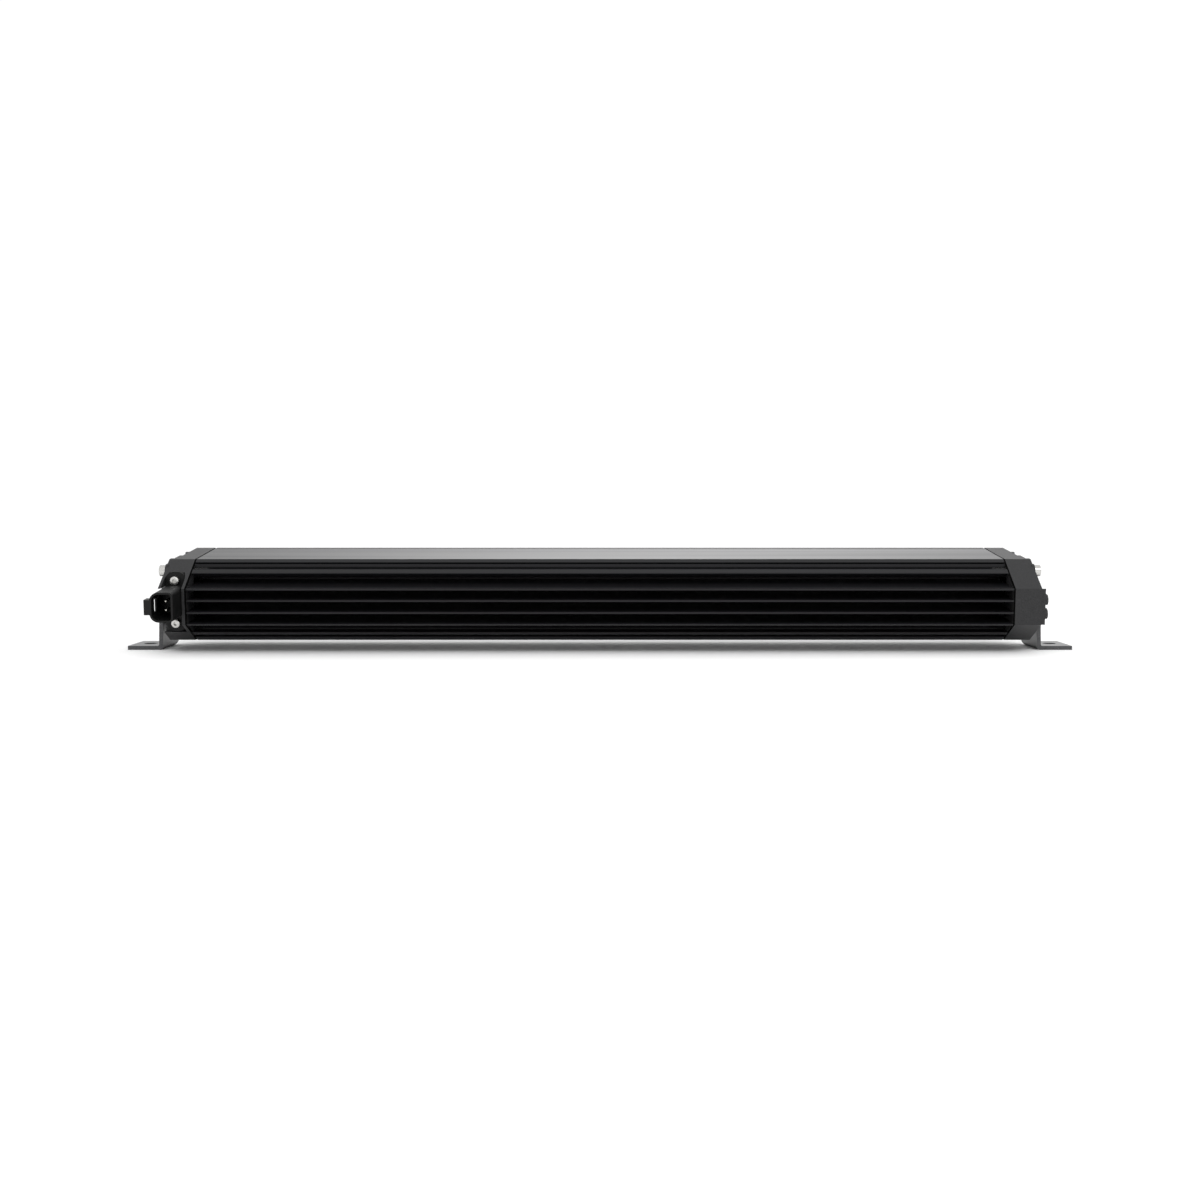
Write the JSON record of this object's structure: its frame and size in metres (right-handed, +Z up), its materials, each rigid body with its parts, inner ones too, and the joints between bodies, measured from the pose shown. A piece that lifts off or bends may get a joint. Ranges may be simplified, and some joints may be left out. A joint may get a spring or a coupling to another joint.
{
  "type": "led light bar",
  "caption": "Straight LED light bar with a finned extruded body, cast end caps, a flanged two-pin socket at the rear and a pivoting L-shaped foot at each end.",
  "frame": {"origin": "midway between the two foot holes, on the underside of the feet", "axes": "+X along the bar towards the end with the connector, +Y rearwards (the light shines towards -Y), +Z up, normal to the feet"},
  "size_m": [0.5976, 0.0955, 0.0631],
  "materials": {
    "anodised_aluminium": "satin black anodised",
    "cast_cap": "matte black powder coat on die casting",
    "bezel_coat": "matte black powder coat",
    "bracket_coat": "matte black powder coat on sheet steel",
    "stainless_steel": "bright stainless",
    "silicone": "matte silicone",
    "polycarbonate": "clear hard-coated polycarbonate",
    "metallised_plastic": "vacuum metallised",
    "white_board": "white solder mask on aluminium core",
    "led_phosphor": "yellow phosphor under a clear dome",
    "green_board": "green solder mask",
    "component_black": "moulded black components",
    "connector_nylon": "black glass-filled nylon",
    "wedge_nylon": "black nylon",
    "plated_pin": "nickel-plated copper",
    "bush_nylon": "black acetal",
    "red_insulation": "red silicone insulation",
    "black_insulation": "black silicone insulation"
  },
  "bodies": {
    "light_bar": {"heat_sink": "anodised_aluminium", "connector_end_cap": "cast_cap", "plain_end_cap": "cast_cap", "front_bezel": "bezel_coat", "connector_end_gasket": "silicone", "plain_end_gasket": "silicone", "lens_gasket": "silicone", "connector_gasket": "silicone", "connector_cap_screws": "stainless_steel", "plain_cap_screws": "stainless_steel", "bezel_screws": "stainless_steel", "connector_screws": "stainless_steel", "board_screws": "stainless_steel", "driver_standoffs": "stainless_steel", "connector_end_pivot_bolt": "stainless_steel", "plain_end_pivot_bolt": "stainless_steel", "connector_end_pivot_washer": "stainless_steel", "plain_end_pivot_washer": "stainless_steel", "connector_end_pivot_bush": "bush_nylon", "plain_end_pivot_bush": "bush_nylon", "lens_cover": "polycarbonate", "reflector_1": "metallised_plastic", "reflector_2": "metallised_plastic", "reflector_3": "metallised_plastic", "reflector_4": "metallised_plastic", "led_board": "white_board", "led_packages": "led_phosphor", "driver_board": "green_board", "driver_components": "component_black", "connector_housing": "connector_nylon", "connector_wedge": "wedge_nylon", "connector_pins": "plated_pin", "positive_lead": "red_insulation", "negative_lead": "black_insulation"},
    "connector_end_bracket": {"connector_end_bracket": "bracket_coat"},
    "plain_end_bracket": {"plain_end_bracket": "bracket_coat"}
  },
  "joints": [
    {"name": "connector_end_pivot", "type": "hinge", "parent": "light_bar", "child": "connector_end_bracket", "pos_m": [0.27775, 0, 0.02716], "axis": [1, 0, 0], "range_deg": [-96.4, 83.6]},
    {"name": "plain_end_pivot", "type": "hinge", "parent": "light_bar", "child": "plain_end_bracket", "pos_m": [-0.27775, 0, 0.02716], "axis": [1, 0, 0], "range_deg": [-96.4, 83.6]}
  ]
}
